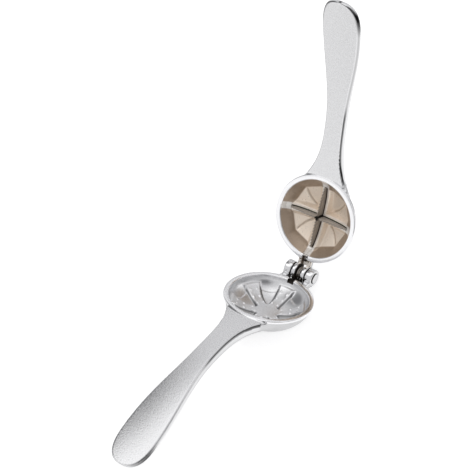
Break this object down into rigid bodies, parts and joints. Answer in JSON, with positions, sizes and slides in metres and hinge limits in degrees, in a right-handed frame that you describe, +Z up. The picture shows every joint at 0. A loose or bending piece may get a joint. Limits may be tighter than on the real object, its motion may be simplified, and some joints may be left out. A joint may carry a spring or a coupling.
{
  "type": "nutcracker",
  "caption": "Lever nutcracker: cast levers with round cups and curved paddle handles on a sprung pin hinge, a raised grip star in one cup and crossed ribs with toothed blades in the other.",
  "frame": {"origin": "middle of the flat foot under the lower cup, on the surface that the nutcracker rests on", "axes": "+Z up, +X from the handles towards the hinge, +Y along the hinge pin"},
  "size_m": [0.1998, 0.05, 0.172],
  "materials": {
    "cast_lever": "satin inner faces, polished sides and rims",
    "pin": "polished",
    "spring": "dark drawn wire",
    "blade": "ground"
  },
  "bodies": {
    "lower": {"lower_lever": "cast_lever", "hinge_pin": "pin", "hinge_spring": "spring"},
    "upper": {"upper_lever": "cast_lever", "blade_lengthwise": "blade", "blade_crosswise": "blade"}
  },
  "joints": [
    {"name": "lever_hinge", "type": "hinge", "parent": "lower", "child": "upper", "pos_m": [0.03556, 0, 0.01077], "axis": [0, 1, 0], "range_deg": [-100, 50], "stiffness_Nm_per_rad": 0.23, "springref_deg": -2.92, "deforming": ["hinge_spring"]}
  ]
}
